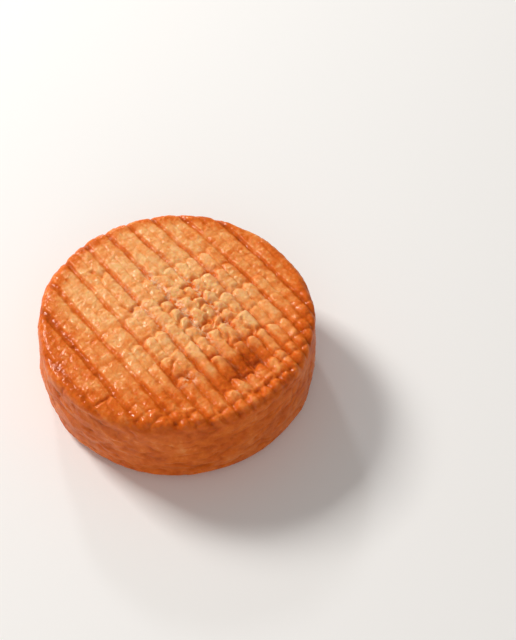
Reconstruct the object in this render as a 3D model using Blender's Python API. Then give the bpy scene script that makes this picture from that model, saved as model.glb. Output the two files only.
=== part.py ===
"""A whole washed-rind soft cheese, a flat round that carries the marks of its draining rack.

The rind is laid out flat first, as a pattern of points whose distance from the middle is the way
along the skin from the centre of the top. The pattern is triangulated, wrapped over the shoulder
and down the flank, and then moved along its normals by the relief. The rack's wires run along Y.
The underside is a second pattern, joined to the first where the foot meets the ground.
"""
import math
from bisect import bisect

import bmesh
import bpy
from mathutils import Vector, noise
from mathutils.geometry import delaunay_2d_cdt

MM = 0.001

# The plain body
RADIUS = 53.4 * MM
HEIGHT = 33 * MM
SHOULDER_RADIUS = 3.8 * MM
FOOT_RADIUS = 4.5 * MM
FLANK_BULGE = 0.7 * MM
TOP_DOME = 0.7 * MM
TOP_FLAT = RADIUS - FLANK_BULGE - SHOULDER_RADIUS
SHOULDER_WAY = SHOULDER_RADIUS * math.pi / 2
FLANK_WAY = HEIGHT - SHOULDER_RADIUS - FOOT_RADIUS
FOOT_WAY = FOOT_RADIUS * math.pi / 2
SKIN_WAY = TOP_FLAT + SHOULDER_WAY + FLANK_WAY + FOOT_WAY
FOOT_EDGE = TOP_FLAT + SHOULDER_RADIUS - FOOT_RADIUS

# The rack's wires along Y, uneven as pressed, and for the finer groove after each wire how deep
# it is at the back and at the front
PITCH = 10.3
WIRES = (-59.8, -49.5, -39.4, -29.3, -19.1, -8.5, 2.5, 12.9, 22.3, 32.2, 42.4, 52.7)
FINE = (
    (0.1, 0.1),
    (0.1, 0.1),
    (0.12, 0.12),
    (0.15, 0.5),
    (0.4, 0.45),
    (0.3, 0.9),
    (0.15, 0.95),
    (0.25, 0.85),
    (0.3, 0.6),
    (0.3, 0.4),
    (0.2, 0.2),
)
LEAN = -1.6
GROOVE_FLOOR = 0.3
GROOVE_LIP = 1.3
GROOVE_SIDE = 1.1
GROOVE_DEPTH = 0.85
FINE_LIP = 1.1
FINE_SIDE = 0.9
FINE_DEPTH = 0.7
SOFTER_SIDE = 0.7
RIDGE_CROWN = 0.4
DEEPEST_MARK = 0.92
DEEPER_SHARE = 0.35
RACK_FADE = (HEIGHT - 4 * MM, HEIGHT + 0.5 * MM)
FOOT_GROOVE_DEPTH = 0.8 * MM

# How far the marks stray: grooves everywhere, grooves among the knobs, the finer grooves among the
# knobs, and creases
WANDER = 0.35
KNOB_WANDER = 0.45
FINE_WANDER = 2.4
CREASE_WANDER = 1.3

# Creases across the ridges, one row for each half ridge from the first wire on. Each is a place
# along Y and a depth. The rind climbs steeply below a crease and falls gently towards it above.
# Between two creases lies a knob.
CREASES = (
    ((7, 0.1), (-4, 0.1)),
    ((7, 0.15), (-4, 0.15), (-17, 0.5)),
    ((7, 0.2), (-4, 0.2)),
    ((8, 0.25), (-4, 0.2)),
    ((8, 0.25), (-3, 0.2), (-38, 0.3)),
    ((19, 0.2), (8, 0.3), (-3.5, 0.45), (-14.5, 0.3), (-38, 0.4)),
    ((30, 0.3), (8.5, 0.5), (-3.5, 0.8), (-14.5, 0.9), (-25.3, 1.0)),
    ((33, 0.4), (12, 0.8), (-3.5, 0.8), (-14.3, 0.5), (-25, 0.5)),
    ((20, 0.2), (12.8, 0.6), (7.8, 0.3), (-3, 0.4), (-9, 0.2), (-14.4, 0.4), (-39.5, 0.9), (-45.5, 0.5)),
    (
        (20.5, 0.4), (8, 1.1), (2.4, 0.9), (-3.2, 1.2), (-8, 0.8),
        (-14, 0.5), (-25, 1.0), (-37, 0.9), (-45.7, 0.8),
    ),
    ((20.5, 0.5), (12.5, 0.5), (5.5, 0.7), (-2.5, 0.5), (-9.5, 1.3), (-14.3, 1.3), (-38, 0.9), (-46.2, 0.7)),
    (
        (20.5, 0.4), (8.6, 1.1), (1.8, 1.1), (-2.2, 1.1), (-9.6, 1.0),
        (-14, 0.8), (-24, 1.0), (-36, 0.9), (-45.7, 0.8),
    ),
    (
        (20.5, 0.6), (9.7, 1.4), (2.5, 0.9), (-3.5, 1.0), (-9, 0.9),
        (-14.5, 1.0), (-25, 0.9), (-37, 0.8), (-46, 0.7),
    ),
    ((20, 0.4), (9.6, 1.2), (-2.5, 1.0), (-13.5, 0.9), (-25, 0.8), (-37, 0.7), (-45, 0.6)),
    ((19, 0.4), (8.5, 0.9), (-3, 0.8), (-14.5, 0.7), (-25, 0.6), (-36, 0.6)),
    ((20, 0.3), (9, 0.5), (-3.5, 0.6), (-14, 0.5), (-26, 0.4)),
    ((8.5, 0.3), (-3, 0.4), (-14, 0.3)),
    ((8, 0.2), (-4, 0.2)),
)
CREASE_BEND = 2.0
CREASE_TILT = 1.6
KNOB_LIFT = 0.5

# Broad dips near the front edge: place, reach and depth
DIPS = ((-3, -36.5, 7.5, 4.2, 1.0), (9, -33.5, 7, 4.8, 1.2), (-15.5, -28, 3.5, 2, 0.7))

# Soft lumps along the front of the rim
RIM_LUMP_HEIGHT = 0.8
RIM_LUMP_SIZE = 5.2

# Wide unevenness of the whole rind, and folds that run round the flank
LUMPS = ((38 * MM, 0.9 * MM), (13 * MM, 0.4 * MM), (4.8 * MM, 0.22 * MM))
FOLD_WAVE = Vector((14, 14, 5.4)) * MM
FOLD_HEIGHT = 0.6 * MM

# Spacing of the solid's facets
ROW_STEP = 1.9
RING_POINTS = 190
SHOULDER_STEP = 1.5 * MM
FLANK_STEP = 4.9 * MM
FOOT_STEP = 2.4 * MM
GRID_EDGE = TOP_FLAT + 3.2 * MM
UNDERSIDE_STEP = 6

# Finish
RIND_COLOUR = (0.84, 0.29, 0.075, 1.0)
RIND_ROUGHNESS = 0.38


def smooth(low, high, value):
    """0 at low, 1 at high, and an even S between them."""
    t = min(max((value - low) / (high - low), 0.0), 1.0)
    return t * t * (3.0 - 2.0 * t)


def spot(x, y, centre_x, centre_y, reach_x, reach_y):
    """A soft round spot, 1 in its middle."""
    return math.exp(-(((x - centre_x) / reach_x) ** 2) - ((y - centre_y) / reach_y) ** 2)


def grain(x, y, z, size):
    """Soft random lumps of one size, -1 to 1."""
    return noise.noise(Vector((x / size, y / size, z / size)))


def body_point(way):
    """Radius, height and outward direction of the plain body, way along the skin."""
    if way < TOP_FLAT:
        return way, HEIGHT + TOP_DOME * (1 - (way / TOP_FLAT) ** 2) ** 2, 0.0, 1.0
    way -= TOP_FLAT
    if way < SHOULDER_WAY:
        turn = way / SHOULDER_RADIUS
        radius = TOP_FLAT + SHOULDER_RADIUS * math.sin(turn)
        height = HEIGHT - SHOULDER_RADIUS * (1 - math.cos(turn))
        return radius, height, math.sin(turn), math.cos(turn)
    way -= SHOULDER_WAY
    if way < FLANK_WAY:
        bulge = FLANK_BULGE * math.sin(math.pi * way / FLANK_WAY) ** 2
        return TOP_FLAT + SHOULDER_RADIUS + bulge, HEIGHT - SHOULDER_RADIUS - way, 1.0, 0.0
    turn = min((way - FLANK_WAY) / FOOT_RADIUS, math.pi / 2)
    radius = FOOT_EDGE + FOOT_RADIUS * math.cos(turn)
    return radius, FOOT_RADIUS * (1 - math.sin(turn)), math.cos(turn), -math.sin(turn)


def knobbly(x, y):
    """How much the ridges break up into knobs, most just right of the middle. All in mm from here."""
    return spot(x, y, 8, -9, 17, 24)


def lean(x, y):
    """How far a wire mark at x has leaned sideways at y."""
    return LEAN * smooth(10, 48, y) * smooth(-6, 8, x)


def place_on_rack(x, y):
    """Where a point lies among the wires, counted in wires."""
    x -= lean(x, y)
    wire = min(max(bisect(WIRES, x) - 1, 0), len(WIRES) - 2)
    return wire + (x - WIRES[wire]) / (WIRES[wire + 1] - WIRES[wire])


def wander(x, y):
    """How far the marks stray at a point, across the wires and along them."""
    among_knobs = knobbly(x, y)
    across = (WANDER + KNOB_WANDER * among_knobs) * grain(x, y, 1, 4.2) + WANDER * grain(x, y, 7, 9)
    between = math.sin(math.pi * place_on_rack(x, y)) ** 2
    across += FINE_WANDER * among_knobs * between * grain(x, y, 15, 3.5)
    return across, CREASE_WANDER * grain(x, y, 3, 3.6)


def half_ridge_creases(half):
    """The creases of a half ridge, counted from the first wire. The last ones have none."""
    return CREASES[half - 2] if 0 <= half - 2 < len(CREASES) else ()


def crease_sag(half, across, line):
    """How far a crease sags or tilts at a place across its half ridge."""
    side = 2 * across - 1
    bend = CREASE_BEND * side**2 * (0.5 + 0.5 * side**2)
    return bend + CREASE_TILT * side * grain(half, line, 0.5, 2.7)


def knobs(half, across, y):
    """Height of the knobs of a half ridge against its plain crown."""
    height = 0.0
    lift = noise.cell(Vector((half, 0.5, 0.5)))
    for k, (line, depth) in enumerate(half_ridge_creases(half)):
        above = y - line + crease_sag(half, across, line)
        next_lift = noise.cell(Vector((half, k + 1.5, 0.5)))
        height += KNOB_LIFT * depth * (next_lift - lift) * smooth(0.3, -0.7, above)
        lift = next_lift
        if above > 0:
            height -= depth * (0.6 * math.exp(-((above / 1.1) ** 2)) + 0.4 * math.exp(-above / 3.2))
        else:
            height -= depth * math.exp(-((above / 0.8) ** 2))
            height += 0.35 * depth * smooth(0, -1.6, above) * smooth(-7, -1.6, above)
    return height * smooth(0, 0.1, across) * smooth(1, 0.9, across)


def lump_heights(x, y, size, seed):
    """Height, 0 to 1, of soft lumps that touch, in an uneven lattice."""
    across, along = x / size, y / size
    nearest = second = 9.0
    for i in range(math.floor(across) - 1, math.floor(across) + 2):
        for j in range(math.floor(along) - 1, math.floor(along) + 2):
            stray = noise.cell_vector(Vector((i + 0.5, j + 0.5, seed)))
            far = math.hypot(across - i - 0.5 - 0.3 * stray.x, along - j - 0.5 - 0.3 * stray.y)
            if far < nearest:
                nearest, second = far, nearest
            elif far < second:
                second = far
    inside = min((second - nearest) / 0.9, 1.0)
    return 1 - (1 - inside) ** 2


def groove_heights(x, y, place):
    """Height of the wires' grooves and of the finer ones, both softer towards the front."""
    wire = min(math.floor(place), len(FINE) - 1)
    from_wire = abs(place - round(place)) * PITCH
    from_fine = abs(place - wire - 0.5) * PITCH
    left = smooth(-20, -38, x)
    soft = smooth(-12, -26, y)
    among_knobs = knobbly(x, y)
    broken = max(1 + (0.4 + 1.2 * among_knobs) * grain(x, y, 11, 3.4), 0)
    worn = 0.75 + 0.5 * grain(x / 9, y / 16, 2, 1)

    floor = 0.1 + 0.5 * left + 0.25 * smooth(8, 25, y) + 0.5 * among_knobs
    pressed = GROOVE_DEPTH * (1 - 0.25 * left - 0.2 * among_knobs) * worn
    pressed *= 1 - 0.5 * smooth(47, 51, abs(x))
    back, front = FINE[wire]
    fine = FINE_DEPTH * (back + (front - back) * smooth(8, -15, y))
    softer = SOFTER_SIDE * soft
    height = -pressed * (1 - smooth(floor, floor + GROOVE_SIDE + softer, from_wire))
    height -= fine * (1 - smooth(0, FINE_SIDE + softer, from_fine))
    return height * broken


def rack_marks(x, y):
    """Height of the top's relief: grooves, crowns, knobs, dips and the lumps of the rim."""
    across, along = wander(x, y)
    place = place_on_rack(x + across, y)
    half = math.floor(2 * place)
    side = (4 * place - 2 * half - 1) ** 2
    from_wire = abs(place - round(place)) * PITCH
    rim = smooth(TOP_FLAT / MM - 5.5, TOP_FLAT / MM - 3.5, math.hypot(x, y)) * smooth(-15, -35, y)

    height = RIDGE_CROWN * (1 - (1 - 2 * from_wire / PITCH) ** 2) + groove_heights(x, y, place)
    among_knobs = knobbly(x, y)
    crown = 0.1 + 0.4 * among_knobs + 0.35 * smooth(-12, -26, y)
    height += crown * (1 - side * (0.5 + 0.5 * side))
    height += knobs(half, 2 * place - half, y + along) * (1 - 0.5 * rim)
    height = max(height, DEEPER_SHARE * (height + DEEPEST_MARK) - DEEPEST_MARK)
    height -= sum(depth * spot(x, y, *dip) for *dip, depth in DIPS)
    height += RIM_LUMP_HEIGHT * rim * (lump_heights(x, y, RIM_LUMP_SIZE, 5) - 0.5)
    return height


def relief(point, u, v):
    """How far the rind stands out of the plain body, in metres. u, v is the pattern point."""
    settled = smooth(0, 5 * MM, point.z)
    height = sum(depth * noise.noise(point / size) for size, depth in LUMPS) * settled
    on_top = smooth(*RACK_FADE, point.z)
    if on_top < 1:
        fold = noise.noise(Vector(part / wave for part, wave in zip(point, FOLD_WAVE)))
        height += (1 - on_top) * settled * FOLD_HEIGHT * fold
    if on_top > 0:
        height += on_top * rack_marks(u / MM, v / MM) * MM
    return height


def skin_point(u, v):
    """A pattern point's place in space: wrapped over the body, then moved by the relief."""
    way = math.hypot(u, v)
    radius, height, out, up = body_point(way)
    east, north = (u / way, v / way) if way > 0 else (1.0, 0.0)
    point = Vector((radius * east, radius * north, height))
    return point + Vector((out * east, out * north, up)) * relief(point, u, v)


def steps(start, end, step):
    """Even steps from just after start up to end, each about step long."""
    count = max(1, round((end - start) / step))
    return [start + (end - start) * (k + 1) / count for k in range(count)]


def ring(radius):
    """Pattern points evenly round a circle."""
    turns = [2 * math.pi * k / RING_POINTS for k in range(RING_POINTS)]
    return [Vector((radius * math.cos(turn), radius * math.sin(turn))) for turn in turns]


def rows_along(half, across):
    """Places along Y of the facets of one line, with each crease's floor and edge among them."""
    edge = GRID_EDGE / MM + 2
    keys = [-edge, edge]
    if 0 < across < 1:
        for line, depth in half_ridge_creases(half):
            if depth > 0.25:
                floor = line - crease_sag(half, across, line)
                keys += [floor, floor - 1.2]
    keys.sort()
    rows = [keys[0]]
    for low, high in zip(keys, keys[1:]):
        rows += steps(low, high, ROW_STEP)
    return rows


def rack_lines():
    """Each line of facets that runs along the wires: its half ridge and its place across it."""
    places = (0, GROOVE_LIP / PITCH, 0.25, 0.5 - FINE_LIP / PITCH, 0.5)
    places += tuple(1 - place for place in places[3:0:-1])
    for wire in range(len(WIRES) - 1):
        for place in places:
            half = 2 * wire + math.floor(2 * place)
            yield wire + place, half, 2 * (wire + place) - half


def top_pattern():
    """Pattern points of the top, along each groove's floor and lips and on every crease."""
    points = []
    for place, half, across in rack_lines():
        wire = math.floor(place)
        straight = WIRES[wire] + (place - wire) * (WIRES[wire + 1] - WIRES[wire])
        for y in rows_along(half, across):
            x = straight + lean(straight, y)
            point = (Vector((x, y)) - Vector(wander(x, y))) * MM
            if point.length < GRID_EDGE - 1.1 * MM:
                points.append(point)
    return points


def skin_pattern():
    """Every pattern point from the centre of the top to the edge of the foot."""
    ways = [GRID_EDGE]
    ways += steps(GRID_EDGE, TOP_FLAT + SHOULDER_WAY, SHOULDER_STEP)
    ways += steps(ways[-1], ways[-1] + FLANK_WAY, FLANK_STEP)
    ways += steps(ways[-1], SKIN_WAY, FOOT_STEP)
    points = top_pattern()
    for way in ways:
        points += ring(way)
    return points


def underside_point(u, v):
    """A point of the underside: flat, with shallow grooves that end short of the foot."""
    wire = min(abs(u / MM - x) for x in WIRES)
    groove = 1 - smooth(GROOVE_FLOOR, GROOVE_LIP, wire)
    inside = smooth(FOOT_EDGE - 0.5 * MM, FOOT_EDGE - 6 * MM, math.hypot(u, v))
    return Vector((u, v, FOOT_GROOVE_DEPTH * groove * inside))


def underside_pattern():
    """Pattern points of the underside, on the floor and lips of each groove."""
    points = ring(FOOT_EDGE)
    reach = round(FOOT_EDGE / MM / UNDERSIDE_STEP)
    for wire in WIRES:
        for line in (-GROOVE_LIP, 0, GROOVE_LIP):
            for row in range(-reach, reach + 1):
                point = Vector((wire + line, row * UNDERSIDE_STEP)) * MM
                if point.length < FOOT_EDGE - 1.2 * MM:
                    points.append(point)
    return points


def add_surface(mesh, points, place, turned=False):
    """Triangulates a pattern and adds it to the mesh, each point where place puts it."""
    faces = delaunay_2d_cdt(points, [], [], 0, 1e-9)[2]
    vertices = [mesh.verts.new(place(u, v)) for u, v in points]
    for face in faces:
        corners = [vertices[k] for k in face]
        mesh.faces.new(corners[::-1] if turned else corners)


def rind_material():
    material = bpy.data.materials.new("washed_rind")
    material.use_nodes = True
    shader = material.node_tree.nodes["Principled BSDF"]
    shader.inputs["Base Color"].default_value = RIND_COLOUR
    shader.inputs["Roughness"].default_value = RIND_ROUGHNESS
    shader.inputs["Metallic"].default_value = 0.0
    return material


def centre(mesh):
    """Moves the mesh so that the middle of its extent along X and Y is over the origin."""
    for axis in (0, 1):
        places = [vertex.co[axis] for vertex in mesh.verts]
        middle = (min(places) + max(places)) / 2
        for vertex in mesh.verts:
            vertex.co[axis] -= middle


def make_cheese():
    mesh = bmesh.new()
    add_surface(mesh, skin_pattern(), skin_point)
    add_surface(mesh, underside_pattern(), underside_point, turned=True)
    bmesh.ops.remove_doubles(mesh, verts=mesh.verts, dist=0.001 * MM)
    centre(mesh)
    data = bpy.data.meshes.new("cheese")
    mesh.to_mesh(data)
    mesh.free()
    data.shade_smooth()
    data.materials.append(rind_material())
    return bpy.data.objects.new("cheese", data)


def main():
    for item in list(bpy.data.objects):
        bpy.data.objects.remove(item)
    part = bpy.data.collections.new("washed_rind_cheese")
    bpy.context.scene.collection.children.link(part)
    part.objects.link(make_cheese())


if __name__ == "__main__":
    main()
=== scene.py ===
"""A whole washed-rind soft cheese on a pale table, lit by soft studio light.

The rind is one fine mesh over the CAD solid. It is laid out flat as a pattern of points, wrapped
over the body, and moved by its relief. Lengths are in millimetres until the mesh is made, unless a
comment says otherwise. Ripeness runs from 0, gold, to 1, brick red.
"""
import math
from bisect import bisect

import bpy
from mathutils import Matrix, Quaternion, Vector, noise
from mathutils.geometry import delaunay_2d_cdt


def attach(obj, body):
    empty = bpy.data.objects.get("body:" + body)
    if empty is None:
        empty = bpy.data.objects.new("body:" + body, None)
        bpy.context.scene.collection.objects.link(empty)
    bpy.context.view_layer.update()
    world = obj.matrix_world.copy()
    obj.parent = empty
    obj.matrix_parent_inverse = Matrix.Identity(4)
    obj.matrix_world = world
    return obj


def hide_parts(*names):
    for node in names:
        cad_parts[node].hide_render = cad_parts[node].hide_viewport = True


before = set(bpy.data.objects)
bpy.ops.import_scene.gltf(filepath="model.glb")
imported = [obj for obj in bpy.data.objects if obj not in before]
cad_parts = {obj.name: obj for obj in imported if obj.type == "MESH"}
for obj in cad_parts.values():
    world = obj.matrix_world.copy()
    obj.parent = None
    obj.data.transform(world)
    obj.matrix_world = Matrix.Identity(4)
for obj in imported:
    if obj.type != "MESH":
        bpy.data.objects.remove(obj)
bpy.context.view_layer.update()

MM = 0.001

# The plain body
RADIUS = 53.4
HEIGHT = 33
SHOULDER_RADIUS = 3.8
FOOT_RADIUS = 4.5
FLANK_BULGE = 0.7
TOP_DOME = 0.7
TOP_FLAT = RADIUS - FLANK_BULGE - SHOULDER_RADIUS
SHOULDER_WAY = SHOULDER_RADIUS * math.pi / 2
FLANK_WAY = HEIGHT - SHOULDER_RADIUS - FOOT_RADIUS
FOOT_WAY = FOOT_RADIUS * math.pi / 2
SKIN_WAY = TOP_FLAT + SHOULDER_WAY + FLANK_WAY + FOOT_WAY
FOOT_EDGE = TOP_FLAT + SHOULDER_RADIUS - FOOT_RADIUS

# The rack's wires along Y, uneven as pressed, and for the finer groove after each wire how deep
# it is at the back and at the front
PITCH = 10.3
WIRES = (-59.8, -49.5, -39.4, -29.3, -19.1, -8.5, 2.5, 12.9, 22.3, 32.2, 42.4, 52.7)
FINE = (
    (0.1, 0.1),
    (0.1, 0.1),
    (0.12, 0.12),
    (0.15, 0.5),
    (0.4, 0.45),
    (0.3, 0.9),
    (0.15, 0.95),
    (0.25, 0.85),
    (0.3, 0.6),
    (0.3, 0.4),
    (0.2, 0.2),
)
LEAN = -1.6
GROOVE_FLOOR = 0.1
GROOVE_SIDE = 1.1
GROOVE_DEPTH = 0.85
FINE_SIDE = 0.9
FINE_DEPTH = 0.7
RACK_FADE = (HEIGHT - 4, HEIGHT + 0.5)
FOOT_GROOVE_DEPTH = 0.8

# Crown of a whole ridge, and of each half of it: everywhere, more of it among the knobs, and more
# where the marks are soft
RIDGE_CROWN = 0.4
HALF_CROWN = 0.1
KNOB_CROWN = 0.4
SOFT_CROWN = 0.35

# How far the marks stray: grooves everywhere, grooves among the knobs, the finer grooves among the
# knobs, creases, and the ragged edge of them all
WANDER = 0.35
KNOB_WANDER = 0.45
FINE_WANDER = 2.4
CREASE_WANDER = 1.3
RAGGED_EDGE = 0.4

# Where marks cross, what would be deeper than 0.92 mm goes on at a share of its depth
DEEPER_SHARE = 0.35
DEEPER_DROP = 0.6

# Creases across the ridges, one row for each half ridge from the second wire on. Each is a place
# along Y and a depth. The rind climbs steeply below a crease and falls gently towards it above.
# Between two creases lies a knob.
CREASES = (
    ((7, 0.1), (-4, 0.1)),
    ((7, 0.15), (-4, 0.15), (-17, 0.5)),
    ((7, 0.2), (-4, 0.2)),
    ((8, 0.25), (-4, 0.2)),
    ((8, 0.25), (-3, 0.2), (-38, 0.3)),
    ((19, 0.2), (8, 0.3), (-3.5, 0.45), (-14.5, 0.3), (-38, 0.4)),
    ((30, 0.3), (8.5, 0.5), (-3.5, 0.8), (-14.5, 0.9), (-25.3, 1.0)),
    ((33, 0.4), (12, 0.8), (-3.5, 0.8), (-14.3, 0.5), (-25, 0.5)),
    ((20, 0.2), (12.8, 0.6), (7.8, 0.3), (-3, 0.4), (-9, 0.2), (-14.4, 0.4), (-39.5, 0.9), (-45.5, 0.5)),
    (
        (20.5, 0.4), (8, 1.1), (2.4, 0.9), (-3.2, 1.2), (-8, 0.8),
        (-14, 0.5), (-25, 1.0), (-37, 0.9), (-45.7, 0.8),
    ),
    ((20.5, 0.5), (12.5, 0.5), (5.5, 0.7), (-2.5, 0.5), (-9.5, 1.3), (-14.3, 1.3), (-38, 0.9), (-46.2, 0.7)),
    (
        (20.5, 0.4), (8.6, 1.1), (1.8, 1.1), (-2.2, 1.1), (-9.6, 1.0),
        (-14, 0.8), (-24, 1.0), (-36, 0.9), (-45.7, 0.8),
    ),
    (
        (20.5, 0.6), (9.7, 1.4), (2.5, 0.9), (-3.5, 1.0), (-9, 0.9),
        (-14.5, 1.0), (-25, 0.9), (-37, 0.8), (-46, 0.7),
    ),
    ((20, 0.4), (9.6, 1.2), (-2.5, 1.0), (-13.5, 0.9), (-25, 0.8), (-37, 0.7), (-45, 0.6)),
    ((19, 0.4), (8.5, 0.9), (-3, 0.8), (-14.5, 0.7), (-25, 0.6), (-36, 0.6)),
    ((20, 0.3), (9, 0.5), (-3.5, 0.6), (-14, 0.5), (-26, 0.4)),
    ((8.5, 0.3), (-3, 0.4), (-14, 0.3)),
    ((8, 0.2), (-4, 0.2)),
)
CREASE_BEND = 2.0
CREASE_TILT = 1.6
CREASE_REACH = (-8, 9)
FIRST_CREASED = 2
KNOB_LIFT = 0.5

# Where the knobs are strongest: place and reach
KNOB_FIELD = (8, -9, 17, 24)

# Where the marks get softer towards the front edge, and wider towards the left edge
SOFT_FRONT = (-12, -26)
WIDE_LEFT = (-20, -38)

# Broad dips near the front edge and small hollows among the knobs: place, reach and depth
DIPS = (
    (-3, -36.5, 7.5, 4.2, 1.0),
    (9, -33.5, 7, 4.8, 1.2),
    (-15.5, -28, 3.5, 2, 0.7),
    (-2.6, 3.9, 1.5, 1.2, 0.8),
    (-1.4, 21.2, 1.2, 1.2, 0.4),
    (8.8, 14.2, 0.8, 1.7, 0.5),
    (8.7, 5.6, 1.3, 1.0, 0.7),
    (8.8, -13, 1.3, 1.2, 0.7),
)

# Soft lumps along the front of the rim, and where the rim and its front start
RIM = (TOP_FLAT - 5.5, TOP_FLAT - 3.5)
RIM_FRONT = (-15, -35)
RIM_LUMP_HEIGHT = 0.8
RIM_LUMP_SIZE = 5.2

# Slanting creases: both ends, depth and half width
STROKES = (
    ((-16.6, 44), (-14.4, 36.5), 0.25, 0.9),
    ((-14.4, 36.5), (-12.4, 32.5), 0.55, 0.8),
    ((-14.7, 15.2), (-13, 11), 0.5, 0.7),
    ((-13, 11), (-9.5, 10.6), 0.45, 0.9),
    ((-18.6, -22.5), (-14.6, -18.3), 0.5, 0.6),
    ((-47.5, -17), (-42, -16.8), 0.5, 0.5),
)

# Unevenness of the whole rind: height and size of its lumps
LUMPS = ((0.9, 38), (0.4, 13), (0.22, 4.8), (0.06, 1.1))

# Skin of the top: small raised beads, pebbles of two sizes, faint streaks along the wires, and the
# crumbs of the bloom
BEAD_HEIGHT = 0.12
BEAD_SIZE = 1.3
PEBBLE_HEIGHT = 0.2
PEBBLE_SIZE = 2.6
FINE_PEBBLE_HEIGHT = 0.14
FINE_PEBBLE_SIZE = 1.2
STREAK_HEIGHT = 0.05
STREAK_SIZE = 1.6
STREAK_STRETCH = 7
CRUMB_HEIGHT = 0.2
CRUMB_SIZE = 0.9

# Skin of the flank: height, size along it, and how much flatter than long the form is
FOLD = (0.6, 14, 2.6)
WRINKLE = (0.45, 8.5, 2.6)
WRINKLED_PATCH_SIZE = 6
WRINKLED_PATCH_FLATNESS = 1.8
FLANK_BEAD = (0.1, 1.7, 1.3)
FLANK_LUMP = (0.25, 4.2, 1.6)

# Ripeness of the unmarked rind: in the middle of the top, where the top is ripest, on the flank and
# on the underside
MIDDLE_RIPENESS = 0.17
EDGE_RIPENESS = 0.74
FLANK_RIPENESS = 0.6
UNDERSIDE_RIPENESS = 0.45

# How much darker and redder the grooves, creases, strokes and dips are made, as painted shade; how
# # much paler the beads are, as painted highlight; and how much paler the rind is where it stands high
# # and darker where it lies low, as painted light and shade that follow the relief
GROOVE_PAINTED_SHADE = 0.2
FINE_PAINTED_SHADE = 0.08
CREASE_PAINTED_SHADE = 0.09
STROKE_PAINTED_SHADE = 0.2
DIP_PAINTED_SHADE = 0.16
BEAD_PAINTED_HIGHLIGHT = 0.12
RELIEF_PAINTED_SHADE = 0.17

# How far the top ripens towards each side, as a share, and between which places
RIPE_LEFT = (0.5, -17, -47)
RIPE_FRONT = (0.55, -12, -36)
RIPE_BACK = (0.13, 26, 48)
RIPE_RIGHT = (0.35, 18, 45)
RIPE_RIM = (0.6, 44, 50)

# Spots of the top that are riper or paler than the rind round them: place, reach and how much. The
# # paler spot in front at (4, -27) is painted light that offsets the shade of the dips and grooves there.
RIPE_SPOTS_AND_PAINTED_LIGHT = ((2, -41, 13, 2.5, -0.2), (-14, 30, 6, 12, 0.08), (4, -27, 5, 4, -0.2))

# Pale bloom: one field that lies along the wires' grooves only, and two small patches. Place, reach
# and thickness.
GROOVE_BLOOM = ((5, 4, 15, 22, 1.5),)
BLOOM_PATCHES = ((-11, 9, 3, 3, 0.8), (-15, -28, 4, 2.5, 0.8))

# Spacing of the fine mesh
TOP_STEP = 0.43
GRID_EDGE = TOP_FLAT + 4.5
RING_POINTS = 560
RING_STEP = 0.6
UNDERSIDE_STEP = 0.95

# Camera: where it stands, what it looks at and its turn about the line of sight
CAMERA_PLACE = (-170.2, -263.1, 419.8)
CAMERA_AIM = (23, -21.4, 33)
CAMERA_ROLL = 1.05
LENS = 73.95
SENSOR_WIDTH = 36

# Lamps: place in metres, width in metres, watts and colour. A window behind on the left gives the
# soft shadow, a small bright lamp behind on the right glints on the wet rind, and a broad weak one
# fills the front.
LAMPS = {
    "back_window": ((-0.35, 1.42, 1.12), 0.5, 30.5, "fffaf2"),
    "back_glint": ((0.55, 1.5, 0.85), 0.16, 4.4, "ffffff"),
    "front_fill": ((-0.8, -1.2, 0.9), 1.2, 5, "fffdf8"),
}
LAMP_AIM = (0, 0, 0.02)
STUDIO_COLOUR = "fff7ee"
STUDIO_STRENGTH = 0.32

# Half the table's side in metres
TABLE_REACH = 4.0


def smooth(low, high, value):
    """0 at low, 1 at high, and an even S between them."""
    t = min(max((value - low) / (high - low), 0.0), 1.0)
    return t * t * (3.0 - 2.0 * t)


def spot(x, y, centre_x, centre_y, reach_x, reach_y):
    """A soft round spot, 1 in its middle."""
    return math.exp(-(((x - centre_x) / reach_x) ** 2) - ((y - centre_y) / reach_y) ** 2)


def spots(x, y, places):
    """All the soft spots of a list at a point, each with its amount."""
    return sum(amount * spot(x, y, *place) for *place, amount in places)


def grain(x, y, z, size):
    """Soft random lumps of one size, -1 to 1. On the top, z is a number of their own."""
    return noise.noise(Vector((x / size, y / size, z / size)))


def body_point(way):
    """Radius, height and outward direction of the plain body, way along the skin."""
    if way < TOP_FLAT:
        return way, HEIGHT + TOP_DOME * (1 - (way / TOP_FLAT) ** 2) ** 2, 0.0, 1.0
    way -= TOP_FLAT
    if way < SHOULDER_WAY:
        turn = way / SHOULDER_RADIUS
        radius = TOP_FLAT + SHOULDER_RADIUS * math.sin(turn)
        height = HEIGHT - SHOULDER_RADIUS * (1 - math.cos(turn))
        return radius, height, math.sin(turn), math.cos(turn)
    way -= SHOULDER_WAY
    if way < FLANK_WAY:
        bulge = FLANK_BULGE * math.sin(math.pi * way / FLANK_WAY) ** 2
        return TOP_FLAT + SHOULDER_RADIUS + bulge, HEIGHT - SHOULDER_RADIUS - way, 1.0, 0.0
    turn = min((way - FLANK_WAY) / FOOT_RADIUS, math.pi / 2)
    radius = FOOT_EDGE + FOOT_RADIUS * math.cos(turn)
    return radius, FOOT_RADIUS * (1 - math.sin(turn)), math.cos(turn), -math.sin(turn)


def place_on_rack(x, y):
    """Where a point lies among the wires, counted in wires."""
    x -= LEAN * smooth(10, 48, y) * smooth(-6, 8, x)
    wire = min(max(bisect(WIRES, x) - 1, 0), len(WIRES) - 2)
    return wire + (x - WIRES[wire]) / (WIRES[wire + 1] - WIRES[wire])


def half_ridge_creases(half):
    """The creases across one half ridge."""
    row = half - FIRST_CREASED
    return CREASES[row] if 0 <= row < len(CREASES) else ()


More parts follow.
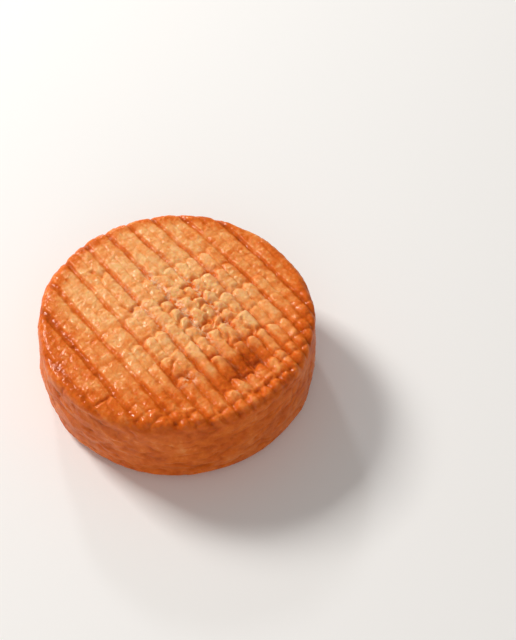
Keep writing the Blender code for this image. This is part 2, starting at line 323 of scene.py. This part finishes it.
def knobs(half, across, y):
    """Height of the knobs of a half ridge, and how near its creases are, 0 to 1."""
    side = 2 * across - 1
    y += CREASE_BEND * side**2 * (0.5 + 0.5 * side**2)
    height = near = 0.0
    lift = noise.cell(Vector((half, 0.5, 0.5)))
    for k, (line, depth) in enumerate(half_ridge_creases(half)):
        above = y - line + CREASE_TILT * side * grain(half, line, 0.5, 2.7)
        next_lift = noise.cell(Vector((half, k + 1.5, 0.5)))
        height += KNOB_LIFT * depth * (next_lift - lift) * smooth(0.3, -0.7, above)
        lift = next_lift
        if not CREASE_REACH[0] <= above <= CREASE_REACH[1]:
            continue
        # Above its line a crease rises first fast and then slowly, below it steeply to a low lip
        if above > 0:
            height -= depth * (0.6 * math.exp(-((above / 1.1) ** 2)) + 0.4 * math.exp(-above / 3.2))
        else:
            height -= depth * math.exp(-((above / 0.8) ** 2))
            height += 0.35 * depth * smooth(0, -1.6, above) * smooth(-7, -1.6, above)
        near = max(near, min(depth, 1) * math.exp(-(((above - 0.2) / 0.7) ** 2)))
    ends = smooth(0, 0.1, across) * smooth(1, 0.9, across)
    return height * ends, near * ends


def lump_heights(x, y, size, seed):
    """Height, 0 to 1, of soft lumps that touch, in an uneven lattice."""
    across, along = x / size, y / size
    nearest = second = 9.0
    for i in range(math.floor(across) - 1, math.floor(across) + 2):
        for j in range(math.floor(along) - 1, math.floor(along) + 2):
            stray = noise.cell_vector(Vector((i + 0.5, j + 0.5, seed)))
            far = math.hypot(across - i - 0.5 - 0.3 * stray.x, along - j - 0.5 - 0.3 * stray.y)
            if far < nearest:
                nearest, second = far, nearest
            elif far < second:
                second = far
    inside = min((second - nearest) / 0.9, 1.0)
    return 1 - (1 - inside) ** 2


def stroke_marks(x, y):
    """Depth of the slanting creases at a point."""
    depth = 0.0
    for (x0, y0), (x1, y1), deep, half_width in STROKES:
        along_x, along_y = x1 - x0, y1 - y0
        share = ((x - x0) * along_x + (y - y0) * along_y) / (along_x**2 + along_y**2)
        share = min(max(share, 0.0), 1.0)
        far = math.hypot(x - x0 - share * along_x, y - y0 - share * along_y)
        depth += deep * math.exp(-((far / half_width) ** 2))
    return depth


def strayed_place(x, y, knobbly):
    """Where a point lies among the wires once the marks have strayed, and how ragged they are."""
    stray = (WANDER + KNOB_WANDER * knobbly) * grain(x, y, 1, 4.2) + WANDER * grain(x, y, 7, 9)
    between_wires = math.sin(math.pi * place_on_rack(x, y)) ** 2
    stray += FINE_WANDER * knobbly * between_wires * grain(x, y, 15, 3.5)
    ragged = RAGGED_EDGE * grain(x, y, 6, 1.5) * smooth(-34, -12, y)
    return place_on_rack(x + stray + ragged * (0.4 + knobbly), y), ragged


def grooves(x, y, place, knobbly, soft, left):
    """Depth of the wires' grooves and of the finer ones at a point, as shares of the full depth."""
    wire = min(math.floor(place), len(FINE) - 1)
    from_wire = abs(place - round(place)) * PITCH
    from_fine = abs(place - wire - 0.5) * PITCH
    worn = 0.75 + 0.5 * grain(x / 9, y / 16, 2, 1)
    broken = max(1 + (0.4 + 1.2 * knobbly) * grain(x, y, 11, 3.4), 0)

    # A groove's floor is wider at the left, at the back and among the knobs. Its sides are softer
    # in front.
    floor = GROOVE_FLOOR + 0.5 * left + 0.25 * smooth(8, 25, y) + 0.5 * knobbly
    lip = floor + GROOVE_SIDE + 0.5 * soft * (1 - left)
    groove = (1 - smooth(floor, lip, from_wire)) * worn * broken
    groove *= 1 - 0.5 * smooth(47, 51, abs(x))

    back, front = FINE[wire]
    fine = (back + (front - back) * smooth(8, -15, y)) * broken
    return groove, fine * (1 - smooth(0, FINE_SIDE + 0.8 * soft, from_fine))


def top_skin(x, y, knobbly):
    """Height of the top's pebbles and streaks at a point."""
    height = (PEBBLE_HEIGHT + 0.06 * knobbly) * grain(x, y, 5, PEBBLE_SIZE)
    height += STREAK_HEIGHT * grain(x, y / STREAK_STRETCH, 9, STREAK_SIZE)
    return height + (FINE_PEBBLE_HEIGHT + 0.05 * knobbly) * grain(x, y, 4, FINE_PEBBLE_SIZE)


def rack_marks(x, y):
    """Height of the top's relief at a point, its ripeness with painted shade and light, and its bloom."""
    knobbly = spot(x, y, *KNOB_FIELD)
    soft = smooth(*SOFT_FRONT, y)
    left = smooth(*WIDE_LEFT, x)
    rim = smooth(*RIM, math.hypot(x, y)) * smooth(*RIM_FRONT, y)
    place, ragged = strayed_place(x, y, knobbly)
    half = math.floor(2 * place)
    across = 2 * place - half
    side = (2 * across - 1) ** 2
    from_wire = abs(place - round(place)) * PITCH

    groove, fine_groove = grooves(x, y, place, knobbly, soft, left)
    knob_height, crease = knobs(half, across, y + CREASE_WANDER * grain(x, y, 3, 3.6) + ragged)
    stroke = stroke_marks(x, y)
    dips = spots(x, y, DIPS)
    lumps = rim * (lump_heights(x, y, RIM_LUMP_SIZE, 5) - 0.5)
    # The beads are also made paler in colour, as painted highlight
    beads = smooth(0.15, 0.5, grain(x, y, 13, BEAD_SIZE)) * (1 - min(groove, 1)) * (1 - 0.5 * soft)
    bloom = spots(x, y, GROOVE_BLOOM) * smooth(2.1, 1.1, from_wire) + spots(x, y, BLOOM_PATCHES)

    height = RIDGE_CROWN * (1 - (1 - 2 * from_wire / PITCH) ** 2)
    height -= GROOVE_DEPTH * groove * (1 - 0.25 * left - 0.2 * knobbly) + FINE_DEPTH * fine_groove
    crown = HALF_CROWN + KNOB_CROWN * knobbly + SOFT_CROWN * soft
    height += crown * (1 - side * (0.5 + 0.5 * side))
    height += knob_height * (1 - 0.5 * rim) - stroke
    height = max(height, DEEPER_SHARE * height - DEEPER_DROP)
    height += RIM_LUMP_HEIGHT * lumps - dips + BEAD_HEIGHT * beads + top_skin(x, y, knobbly)

    # Painted shade darkens the grooves, the finer grooves and the creases
    ripe_and_shade = GROOVE_PAINTED_SHADE * groove * (1 - 0.8 * soft) + FINE_PAINTED_SHADE * fine_groove + CREASE_PAINTED_SHADE * crease
    # Painted shade also darkens strokes and dips, painted highlight pales the beads, and painted light and
    # shade make it paler high and darker low
    ripe_and_shade += STROKE_PAINTED_SHADE * stroke + DIP_PAINTED_SHADE * dips - BEAD_PAINTED_HIGHLIGHT * beads - RELIEF_PAINTED_SHADE * (height - 0.2)
    ripe_and_shade += spots(x, y, RIPE_SPOTS_AND_PAINTED_LIGHT) + 0.11 * grain(x, y, 17, 5.5)
    height += CRUMB_HEIGHT * min(bloom, 1) * grain(x, y, 19, CRUMB_SIZE)
    return height, ripe_and_shade, bloom


def ripeness(x, y, z):
    """How ripe the rind is, by where it lies: gold in the middle of the top, brick red low down."""
    unripe = 1.0
    for (share, start, end), along in (
        (RIPE_LEFT, x),
        (RIPE_FRONT, y),
        (RIPE_BACK, y),
        (RIPE_RIGHT, x),
        (RIPE_RIM, math.hypot(x, y)),
    ):
        unripe *= 1 - share * smooth(start, end, along)
    ripe_and_shade = EDGE_RIPENESS + (MIDDLE_RIPENESS - EDGE_RIPENESS) * unripe
    flank = smooth(HEIGHT - 1, HEIGHT - 8, z)
    return ripe_and_shade + flank * (FLANK_RIPENESS - ripe_and_shade) + 0.12 * grain(x, y, z, 14)


def flank_skin(x, y, z):
    """Height of the flank's folds, wrinkles, beads and lumps at a point, and its ripeness with painted shade
    and light.
    """
    fold, wrinkle, bead, lump = [
        grain(x, y, z * flatness, size) for _, size, flatness in (FOLD, WRINKLE, FLANK_BEAD, FLANK_LUMP)
    ]
    patch = grain(x, y, z * WRINKLED_PATCH_FLATNESS, WRINKLED_PATCH_SIZE)
    wrinkle = smooth(0.6, 1, 1 - 2 * abs(wrinkle)) * smooth(-0.3, 0.25, patch)
    bead = smooth(0.1, 0.5, bead)
    height = FOLD[0] * fold - WRINKLE[0] * wrinkle + FLANK_BEAD[0] * bead + FLANK_LUMP[0] * lump
    # Painted shade darkens the wrinkles, painted light pales the folds and beads, and random patches vary
    # the tone
    ripe_and_shade = 0.15 * wrinkle - 0.15 * fold - 0.06 * bead + 0.1 * grain(x, y, z, 6.5)
    return height, ripe_and_shade


def relief(x, y, z, u, v):
    """Height of the rind above the plain body, with its ripeness, painted shade and light, and bloom."""
    on_top = smooth(*RACK_FADE, z)
    height = sum(amount * grain(x, y, z, size) for amount, size in LUMPS)
    ripe_and_shade = ripeness(x, y, z)
    bloom = 0.0
    if on_top < 1:
        raised, marked = flank_skin(x, y, z)
        height += (1 - on_top) * raised
        ripe_and_shade += (1 - on_top) * marked
    height *= smooth(0, 5, z)
    if on_top > 0:
        marks, marked, bloom = rack_marks(u, v)
        height += on_top * marks
        ripe_and_shade += on_top * marked
    return height, ripe_and_shade, bloom * on_top


def skin_point(u, v):
    """A pattern point wrapped over the body and moved by the relief, with its marks."""
    way = math.hypot(u, v)
    radius, height, out, up = body_point(way)
    east, north = (u / way, v / way) if way > 0 else (1.0, 0.0)
    x, y = radius * east, radius * north
    raised, ripe_and_shade, bloom = relief(x, y, height, u, v)
    point = Vector((x + raised * out * east, y + raised * out * north, height + raised * up))
    return point, ripe_and_shade, bloom


def underside_point(u, v):
    """A point of the underside: flat, with shallow grooves that end short of the foot."""
    groove = 1 - smooth(0.3, 1.35, min(abs(u - x) for x in WIRES))
    groove *= smooth(FOOT_EDGE - 0.5, FOOT_EDGE - 6, math.hypot(u, v))
    # The grooves are darker by painted shade
    return Vector((u, v, FOOT_GROOVE_DEPTH * groove)), UNDERSIDE_RIPENESS + 0.3 * groove, 0.0


def ring(radius, turn):
    """Pattern points evenly round a circle."""
    turns = [2 * math.pi * (k + turn) / RING_POINTS for k in range(RING_POINTS)]
    return [Vector((radius * math.cos(angle), radius * math.sin(angle))) for angle in turns]


def disc(radius, step):
    """Pattern points over a disc, in a lattice of equal triangles."""
    points = []
    for row in range(-math.ceil(radius / step * 1.2), math.ceil(radius / step * 1.2)):
        y = row * step * 0.866
        if abs(y) >= radius:
            continue
        for column in range(-math.ceil(radius / step), math.ceil(radius / step)):
            x = (column + row % 2 / 2) * step
            if x * x + y * y < radius * radius:
                points.append(Vector((x, y)))
    return points


def skin_pattern():
    """Every pattern point from the centre of the top to the edge of the foot."""
    points = disc(GRID_EDGE - 0.5, TOP_STEP)
    rings = round((SKIN_WAY - GRID_EDGE) / RING_STEP)
    for k in range(rings + 1):
        way = GRID_EDGE + (SKIN_WAY - GRID_EDGE) * k / rings
        points += ring(way, (rings - k) % 2 / 2)
    return points


def underside_pattern():
    """Pattern points of the underside, inside the skin's last ring."""
    return ring(FOOT_EDGE, 0) + disc(FOOT_EDGE - 0.7, UNDERSIDE_STEP)


def centred(places):
    """The same places, moved so that the middle of their extent along X and Y is over the origin."""
    middle = Vector()
    for axis in (0, 1):
        along = [place[axis] for place in places]
        middle[axis] = (min(along) + max(along)) / 2
    return [place - middle for place in places]


def cheese_mesh():
    """The whole rind as one closed mesh, with its marks as attributes."""
    places, ripe_and_shade_values, blooms, faces = [], [], [], []
    index = {}
    for pattern, place, turned in (
        (skin_pattern(), skin_point, False),
        (underside_pattern(), underside_point, True),
    ):
        numbers = []
        for u, v in pattern:
            point, ripe_and_shade, bloom = place(u, v)
            key = (round(point.x, 3), round(point.y, 3), round(point.z, 3))
            if key not in index:
                index[key] = len(places)
                places.append(point * MM)
                ripe_and_shade_values.append(ripe_and_shade)
                blooms.append(bloom)
            numbers.append(index[key])
        for face in delaunay_2d_cdt(pattern, [], [], 0, 1e-7)[2]:
            corners = [numbers[k] for k in face]
            faces.append(corners[::-1] if turned else corners)
    mesh = bpy.data.meshes.new("washed_rind")
    mesh.from_pydata(centred(places), [], faces)
    mesh.attributes.new("ripe_and_shade", "FLOAT", "POINT").data.foreach_set("value", ripe_and_shade_values)
    mesh.attributes.new("bloom", "FLOAT", "POINT").data.foreach_set("value", blooms)
    mesh.shade_smooth()
    return mesh


# The rind's colour from gold to brick red as it ripens and as shade is painted on it, its bloom's, and the
# table's
RIPENING = ("f5bd80", "ee9a54", "df6f20", "c95909", "a34103")
BLOOM_COLOUR = "efb98c"
TABLE_COLOUR = "f3f5f8"

# Roughness of the least ripe rind, and how much rougher the ripest is
GOLD_ROUGHNESS = 0.33
RIPE_ROUGHER = 0.25

# Size of the patterns in the rind's colour and sheen: blotches of 3.3 mm, flecks of 1.4 mm and
# pores of 0.8 mm
BLOTCH_SIZE = 10 / 3
FLECK_SIZE = 10 / 7
PORE_SIZE = 10 / 13


def srgb(code):
    """A hex colour as linear light."""
    parts = [int(code[k : k + 2], 16) / 255 for k in (0, 2, 4)]
    parts = [c / 12.92 if c <= 0.04045 else ((c + 0.055) / 1.055) ** 2.4 for c in parts]
    return (*parts, 1.0)


def add(tree, kind, inputs=(), **settings):
    """Adds a node with its settings. An input is a value, or a socket to link."""
    made = tree.nodes.new(kind)
    for name, value in settings.items():
        setattr(made, name, value)
    for name, value in dict(inputs).items():
        if isinstance(value, bpy.types.NodeSocket):
            tree.links.new(value, made.inputs[name])
        else:
            made.inputs[name].default_value = value
    return made


def washed_rind():
    """Rind of a soft cheese washed in brine and spirit: orange, moist and a little see-through.

    Light goes a short way into it and comes out red. The thin wet film on it is smoother than the
    rind, so it glints where the pores tilt it.
    """
    material = bpy.data.materials.new("washed_rind")
    material.use_nodes = True
    tree = material.node_tree
    shader = tree.nodes["Principled BSDF"]
    place = add(tree, "ShaderNodeTexCoord").outputs["Object"]
    ripe_and_shade = add(tree, "ShaderNodeAttribute", attribute_name="ripe_and_shade").outputs["Fac"]
    bloom = add(tree, "ShaderNodeAttribute", attribute_name="bloom").outputs["Fac"]
    patterns = []
    for size, detail in ((BLOTCH_SIZE, 3), (FLECK_SIZE, 2), (PORE_SIZE, 2)):
        grained = {"Vector": place, "Scale": 1 / (size * MM), "Detail": detail}
        patterns.append(add(tree, "ShaderNodeTexNoise", grained).outputs["Fac"])
    blotch, fleck, pore = patterns

    # Ripeness with its painted shade and light, made uneven by blotches and flecks, sets the colour
    uneven = add(tree, "ShaderNodeMath", {0: blotch, 1: 0.6, 2: -0.3}, operation="MULTIPLY_ADD").outputs[0]
    uneven = add(tree, "ShaderNodeMath", {0: fleck, 1: 0.2, 2: uneven}, operation="MULTIPLY_ADD").outputs[0]
    uneven = add(tree, "ShaderNodeMath", {0: uneven, 1: -0.1}, operation="ADD").outputs[0]
    ripe_and_shade = add(tree, "ShaderNodeMath", {0: ripe_and_shade, 1: uneven}, operation="ADD", use_clamp=True).outputs[0]
    ramp = add(tree, "ShaderNodeValToRGB", {"Fac": ripe_and_shade})
    stops = ramp.color_ramp.elements
    stops[0].color = srgb(RIPENING[0])
    stops[1].color = srgb(RIPENING[-1])
    for k in range(1, len(RIPENING) - 1):
        stops.new(k / (len(RIPENING) - 1)).color = srgb(RIPENING[k])
    colour = ramp.outputs["Color"]

    # Bloom lies on it in crumbs
    crumbs = add(tree, "ShaderNodeMapRange", {"Value": fleck, "From Min": 0.45, "From Max": 0.6}).outputs[0]
    bloom = add(tree, "ShaderNodeMath", {0: bloom, 1: crumbs}, operation="MULTIPLY", use_clamp=True)
    bloomed = {0: bloom.outputs[0], 6: colour, 7: srgb(BLOOM_COLOUR)}
    colour = add(tree, "ShaderNodeMix", bloomed, data_type="RGBA").outputs[2]
    tree.links.new(colour, shader.inputs["Base Color"])

    # The riper the rind, and the more shade is painted on it, the duller
    duller = {0: ripe_and_shade, 1: RIPE_ROUGHER, 2: GOLD_ROUGHNESS}
    rough = add(tree, "ShaderNodeMath", duller, operation="MULTIPLY_ADD").outputs[0]
    tree.links.new(rough, shader.inputs["Roughness"])
    shader.inputs["IOR"].default_value = 1.4
    shader.inputs["Specular IOR Level"].default_value = 0.06
    shader.inputs["Subsurface Weight"].default_value = 0.55
    shader.inputs["Subsurface Radius"].default_value = (1.0, 0.45, 0.2)
    shader.inputs["Subsurface Scale"].default_value = 2 * MM
    shader.inputs["Coat Weight"].default_value = 0.3
    shader.inputs["Coat Roughness"].default_value = 0.12

    # Pores dent the rind, and the wet film over it less deeply
    bump = add(tree, "ShaderNodeBump", {"Height": pore, "Strength": 0.6, "Distance": 0.4 * MM})
    tree.links.new(bump.outputs["Normal"], shader.inputs["Normal"])
    wet = add(tree, "ShaderNodeBump", {"Height": pore, "Strength": 1.0, "Distance": 0.15 * MM})
    tree.links.new(wet.outputs["Normal"], shader.inputs["Coat Normal"])
    return material


def plain_table():
    """Matt white laminate: a pale ground that takes a soft shadow."""
    material = bpy.data.materials.new("white_laminate")
    material.use_nodes = True
    shader = material.node_tree.nodes["Principled BSDF"]
    shader.inputs["Base Color"].default_value = srgb(TABLE_COLOUR)
    shader.inputs["Roughness"].default_value = 0.7
    return material


def make_table():
    """A wide flat table that the cheese rests on."""
    mesh = bpy.data.meshes.new("table")
    corners = [(x * TABLE_REACH, y * TABLE_REACH, 0) for x, y in ((-1, -1), (1, -1), (1, 1), (-1, 1))]
    mesh.from_pydata(corners, [], [(0, 1, 2, 3)])
    mesh.materials.append(plain_table())
    table = bpy.data.objects.new("table", mesh)
    bpy.context.scene.collection.objects.link(table)


def make_lamp(name, place, size, watts, colour):
    """A square soft lamp that faces the cheese."""
    lamp = bpy.data.lights.new(name, "AREA")
    lamp.size = size
    lamp.energy = watts
    lamp.color = srgb(colour)[:3]
    made = bpy.data.objects.new(name, lamp)
    made.location = place
    made.rotation_euler = (Vector(LAMP_AIM) - Vector(place)).to_track_quat("-Z", "Y").to_euler()
    bpy.context.scene.collection.objects.link(made)


def make_camera():
    """The camera at the photograph's place, turned a little about its line of sight."""
    camera = bpy.data.cameras.new("camera")
    camera.lens = LENS
    camera.sensor_width = SENSOR_WIDTH
    camera.clip_start = 0.01
    made = bpy.data.objects.new("camera", camera)
    made.location = Vector(CAMERA_PLACE) * MM
    sight = (Vector(CAMERA_AIM) - Vector(CAMERA_PLACE)).to_track_quat("-Z", "Y")
    made.rotation_euler = (sight @ Quaternion((0, 0, 1), math.radians(CAMERA_ROLL))).to_euler()
    bpy.context.scene.collection.objects.link(made)
    bpy.context.scene.camera = made


def make_cheese():
    """The rind as one piece in place of the CAD solid. Gives back its mesh."""
    mesh = cheese_mesh()
    mesh.materials.append(washed_rind())
    cheese = bpy.data.objects.new("rind", mesh)
    bpy.context.scene.collection.objects.link(cheese)
    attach(cheese, "root")
    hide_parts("cheese")
    return mesh


def make_studio():
    """The lamps, and the even light of a pale room."""
    for name, lamp in LAMPS.items():
        make_lamp(name, *lamp)
    world = bpy.data.worlds.new("studio")
    world.use_nodes = True
    light = world.node_tree.nodes["Background"]
    light.inputs["Color"].default_value = srgb(STUDIO_COLOUR)
    light.inputs["Strength"].default_value = STUDIO_STRENGTH
    bpy.context.scene.world = world
    bpy.context.scene.view_settings.view_transform = "Standard"


def main():
    mesh = make_cheese()
    make_table()
    make_camera()
    make_studio()
    print("triangles", sum(len(p.vertices) - 2 for p in mesh.polygons))


main()
